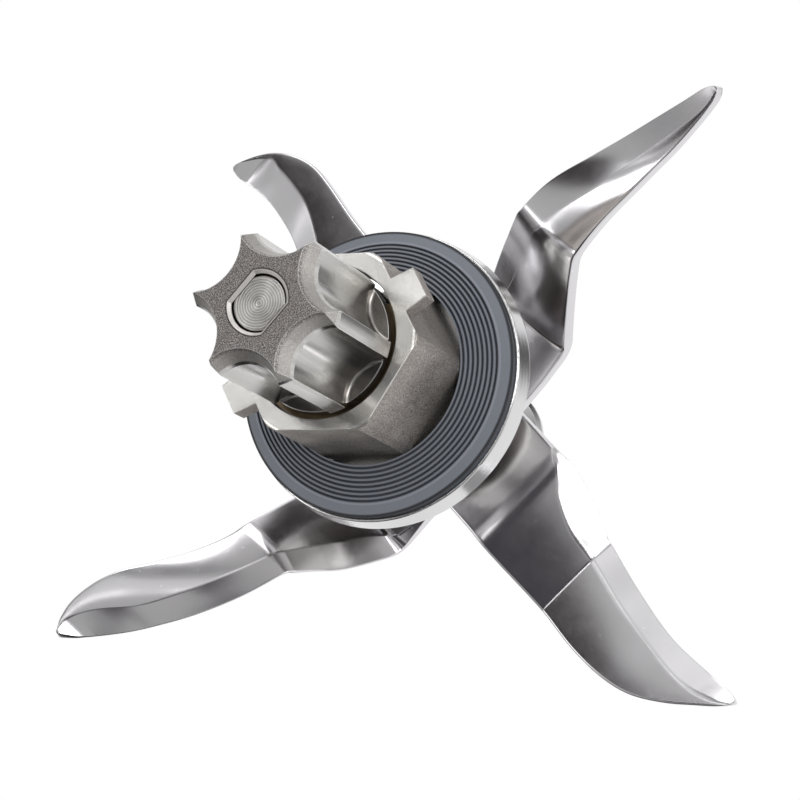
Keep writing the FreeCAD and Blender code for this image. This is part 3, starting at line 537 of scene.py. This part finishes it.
falling_press = {
    "second_bend": 31.2,
    "second_rise": -15.2,
    "tip_rise": -27.1,
    "bends": (2.0, 4.0),
    "ridge": 1.0,
    "land": Outline((-0.2, 1.85), (0.1, 0.4), (2.0, 0.4)),
    "back_lift": Outline((0.6, 0.0), (1.0, 0.3), (1.21, 0.0), (1.46, -1.3), (1.6, -2.0),
                         (1.78, -2.0), (2.0, -1.3)),
    "edge_lift": Outline((0.6, 0.0), (1.0, -1.0), (1.21, -0.9), (1.46, -0.2), (1.6, 0.0),
                         (1.82, -0.5), (2.0, -1.2)),
}
falling = dict(
    falling_press,
    reach=62.5,
    crown=Outline((1.0, 0.25), (1.3, 0.12), (2.0, 0.12)),
    grind=0.25,
    back=Outline((-0.2, 9.04), (0.12, 8.1), (0.55, 7.2), (1.0, 6.7), (1.22, 7.8), (1.46, 10.4),
                 (1.65, 12.4), (1.84, 13.5), (2.0, 13.8)),
    edge=Outline((-0.1, -9.04), (0.12, -9.1), (0.55, -7.8), (0.8, -6.5), (1.0, -5.3), (1.2, -3.5),
                 (1.41, 0.1), (1.7, 5.5), (2.0, 11.6)),
    ground=Outline((-0.2, -8.9), (0.12, -5.2), (0.55, -3.2), (0.9, -1.8), (1.12, 0.7), (1.34, 4.5),
                   (1.6, 8.7), (1.86, 12.7), (2.0, 13.3)))
falling_twin = dict(
    falling_press,
    reach=61.2,
    crown=Outline((0.0, 0.12)),
    grind=0.45,
    back=Outline((-0.2, 9.04), (0.12, 8.1), (0.55, 7.2), (1.05, 6.6), (1.25, 8.1), (1.42, 10.4),
                 (1.58, 13.0), (1.72, 14.2), (1.87, 14.2), (2.0, 12.6)),
    edge=Outline((-0.1, -9.04), (0.12, -8.8), (0.55, -7.4), (0.77, -5.8), (1.0, -4.3),
                 (1.23, -2.5), (1.43, 0.0), (1.61, 2.9), (1.77, 5.9), (2.0, 11.4)),
    ground=Outline((-0.2, -8.9), (0.12, -5.2), (0.55, -3.2), (1.0, -1.0), (1.28, 1.8), (1.47, 4.2),
                   (1.65, 7.0), (1.8, 10.8), (1.92, 12.6), (2.0, 12.2)))
rising_press = {
    "second_bend": 33.0,
    "second_rise": 5.2,
    "tip_rise": 7.0,
    "bends": (9.0, 2.0),
    "ridge": 2.5,
    "land": falling_press["land"],
    "back_lift": Outline((0.0, 0.0)),
    "edge_lift": Outline((0.0, 0.0)),
}
rising = dict(
    rising_press,
    reach=63.6,
    crown=Outline((0.0, 0.05)),
    grind=0.46,
    back=Outline((-0.2, 9.04), (0.2, 9.5), (1.0, 10.0), (1.24, 10.6), (1.44, 10.3), (1.6, 9.0),
                 (1.75, 6.1), (1.88, 2.6), (2.0, -0.8)),
    edge=Outline((-0.1, -9.04), (0.2, -8.9), (0.48, -7.7), (0.76, -6.2), (1.0, -4.5), (1.26, -2.7),
                 (1.55, -1.4), (1.8, -1.8), (2.0, -2.4)),
    ground=Outline((-0.2, -8.9), (0.1, -6.9), (0.3, -4.3), (0.63, -1.9), (1.0, -1.0), (1.29, 0.8),
                   (1.61, 2.0), (1.78, 1.9), (1.92, 0.4), (2.0, -1.4)))
rising_twin = dict(
    rising_press,
    reach=63.6,
    crown=Outline((0.0, 0.08)),
    grind=0.32,
    back=Outline((-0.2, 9.04), (0.2, 9.5), (1.0, 10.0), (1.2, 10.4), (1.45, 11.4), (1.61, 11.6),
                 (1.75, 10.4), (1.88, 7.8), (2.0, 2.8)),
    edge=Outline((-0.1, -9.04), (0.2, -8.9), (0.48, -7.7), (0.76, -6.2), (1.0, -4.6), (1.2, -2.0),
                 (1.4, 0.4), (1.58, 1.5), (1.72, 1.8), (1.88, 1.2), (2.0, 0.3)),
    ground=Outline((-0.2, -8.9), (0.1, -6.9), (0.3, -4.3), (0.63, -1.9), (1.0, -0.6), (1.26, 3.6),
                   (1.45, 6.2), (1.6, 6.9), (1.74, 7.1), (1.86, 7.1), (2.0, 2.3)))

low_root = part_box("low_blade")[1].z / MM - strip_thickness
make_strip("low_blade_skin", "low_blade",
           [arm_rings(falling, low_root), arm_rings(falling_twin, low_root)], turn=0.0)
high_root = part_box("high_blade")[0].z / MM
make_strip("high_blade_skin", "high_blade",
           [arm_rings(rising, high_root), arm_rings(rising_twin, high_root)], turn=94.0)


# Camera: a long lens below the unit, looking up at the coupling as the photograph does.

bpy.ops.object.select_all(action="DESELECT")
bpy.ops.object.camera_add(location=(0.03095, 0.16425, -0.30872),
                          rotation=[math.radians(turn) for turn in (-165.1886, -23.5598, 45.2876)])
camera = bpy.context.object
camera.data.lens = 108.22
camera.data.sensor_width = 36.0
camera.data.clip_start = 0.01
bpy.context.scene.camera = camera
eye = camera.matrix_basis.copy()


# Floor: a plain sheet of pale paper far below the unit. The photograph's camera stands above it and
# looks up, so there it only shows mirrored in the metal.

bpy.ops.mesh.primitive_plane_add(size=60.0, location=(0, 0, -1.6))
floor = bpy.context.object
floor.name = "studio_floor"
paper = Finish("pale_paper", Roughness=0.9)
paper.feed(Base_Color=paper.blend(paper.noise(3.0), (0.71, 0.71, 0.70), (0.76, 0.76, 0.75)))
floor.data.materials.append(paper.material)


# Light: soft boxes round the unit, placed as the camera sees them, and a white surround. Cards of
# dark and pale felt hang between, as a studio shades polished steel with them. They fade out at
# their rims and show in mirror images only.

def aim(right, up, back, distance, lean):
    """A turn and place in the camera's own directions, with the Z axis away from the unit."""
    outward = Vector((right, up, back)).normalized()
    across = Vector((0, 1, 0)).cross(outward).normalized()
    axes = Matrix((across, outward.cross(across), outward)).transposed()
    turn = eye.to_3x3() @ axes @ Matrix.Rotation(math.radians(lean), 3, "Z")
    return turn.to_4x4().to_euler(), eye.to_3x3() @ outward * distance


def softbox(name, right, up, back, width, height, power, lean=0.0):
    """An area light a metre away, aimed at the unit."""
    turn, place = aim(right, up, back, 1.0, lean)
    bpy.ops.object.light_add(type="AREA", location=place, rotation=turn)
    light = bpy.context.object
    light.name = name
    light.data.shape = "RECTANGLE"
    light.data.size = width
    light.data.size_y = height
    light.data.energy = power


softbox("right_box", 0.58, 0.12, 0.80, 0.80, 0.30, 3.6)
softbox("high_box", 0.50, 0.50, 0.70, 0.30, 0.26, 0.7, 30.0)
softbox("top_box", -0.12, 0.98, 0.15, 0.72, 0.40, 2.35)
softbox("top_fill", 0.16, 0.81, 0.58, 0.50, 0.34, 0.30)
softbox("left_box", -0.965, -0.18, 0.165, 0.38, 0.62, 1.5, 10.0)
softbox("upper_fill", -0.11, 0.61, 0.79, 0.50, 0.30, 0.14)
softbox("root_box", -0.483, 0.50, 0.72, 0.14, 0.22, 0.13, 20.0)
softbox("ridge_box", -0.276, 0.519, 0.809, 0.12, 0.07, 0.028)
softbox("crease_box", -0.46, 0.13, 0.86, 0.09, 0.30, 0.22, -32.0)
softbox("edge_box", -0.922, 0.36, -0.09, 0.34, 0.15, 0.11, -50.0)
softbox("end_box", -0.70, 0.44, 0.56, 0.17, 0.17, 0.44)


def card(name, right, up, back, width, height, finish, lean=0.0):
    """A felt card a little beyond the soft boxes, which shows in mirror images only."""
    turn, place = aim(right, up, back, 1.25, lean)
    bpy.ops.mesh.primitive_plane_add(size=1.0, location=place, rotation=turn)
    sheet = bpy.context.object
    sheet.name = name
    sheet.scale = (width, height, 1.0)
    sheet.data.materials.append(finish.material)
    sheet.visible_camera = False
    sheet.visible_diffuse = False
    sheet.visible_shadow = False


def felt(name, first, second, softness):
    """Cloth of two near shades, see-through towards its rim."""
    cloth = Finish(name, Roughness=1.0, Specular_IOR_Level=0.0)
    across, along = [cloth.step(0.5 - cloth.maths("ABSOLUTE", side), 0.0, softness)
                     for side in (cloth.x, cloth.y)]
    return cloth.feed(Base_Color=cloth.blend(cloth.noise(4.0), first, second), Alpha=across * along)


pale_felt = felt("pale_felt", (0.34, 0.34, 0.35), (0.39, 0.39, 0.39), 0.30)
grey_felt = felt("grey_felt", (0.056, 0.053, 0.063), (0.082, 0.076, 0.085), 0.16)
black_felt = felt("black_felt", (0.024, 0.0225, 0.029), (0.053, 0.041, 0.035), 0.16)
card("axis_card", -0.405, -0.135, 0.904, 0.84, 1.00, grey_felt)
card("left_card", -0.756, 0.36, 0.56, 0.74, 1.10, black_felt, 8.0)
card("side_card", -0.875, 0.462, 0.145, 0.70, 0.42, black_felt)
card("far_left_card", -0.70, -0.50, -0.50, 1.20, 1.30, black_felt)
card("outer_card", -0.914, -0.388, -0.122, 0.44, 0.90, black_felt)
card("low_left_card", -0.255, -0.951, -0.174, 1.80, 1.00, black_felt)
card("low_card", 0.05, -0.80, 0.60, 1.60, 0.80, black_felt)
card("top_right_card", 0.50, 0.86, -0.06, 0.64, 1.50, black_felt, -40.0)
card("right_card", 0.80, 0.17, -0.57, 0.30, 0.80, black_felt)
card("near_card", 0.02, 0.14, 0.99, 0.36, 0.44, grey_felt)
card("high_left_card", -0.635, 0.613, -0.469, 0.68, 0.84, pale_felt)
card("high_card", -0.20, 0.84, 0.50, 0.38, 0.38, pale_felt)

world = bpy.data.worlds.new("studio")
bpy.context.scene.world = world
world.use_nodes = True
surround = world.node_tree
surround.nodes.clear()


def either(first, second):
    """1 for a ray of one kind or the other."""
    larger = surround.nodes.new("ShaderNodeMath")
    larger.operation = "MAXIMUM"
    surround.links.new(first, larger.inputs[0])
    surround.links.new(second, larger.inputs[1])
    return larger.outputs[0]


def air(shade, strength):
    """Grey or white light from all round."""
    glow = surround.nodes.new("ShaderNodeBackground")
    glow.inputs["Color"].default_value = (shade, shade, shade, 1.0)
    glow.inputs["Strength"].default_value = strength
    return glow.outputs[0]


ray = surround.nodes.new("ShaderNodeLightPath").outputs
seen = either(ray["Is Camera Ray"], either(ray["Is Glossy Ray"], ray["Is Transmission Ray"]))
mix = surround.nodes.new("ShaderNodeMixShader")
for socket, source in zip(mix.inputs, (seen, air(0.9, 0.72), air(1.0, 1.0))):
    surround.links.new(source, socket)
output = surround.nodes.new("ShaderNodeOutputWorld")
surround.links.new(mix.outputs[0], output.inputs["Surface"])

bpy.context.scene.view_settings.view_transform = "Standard"
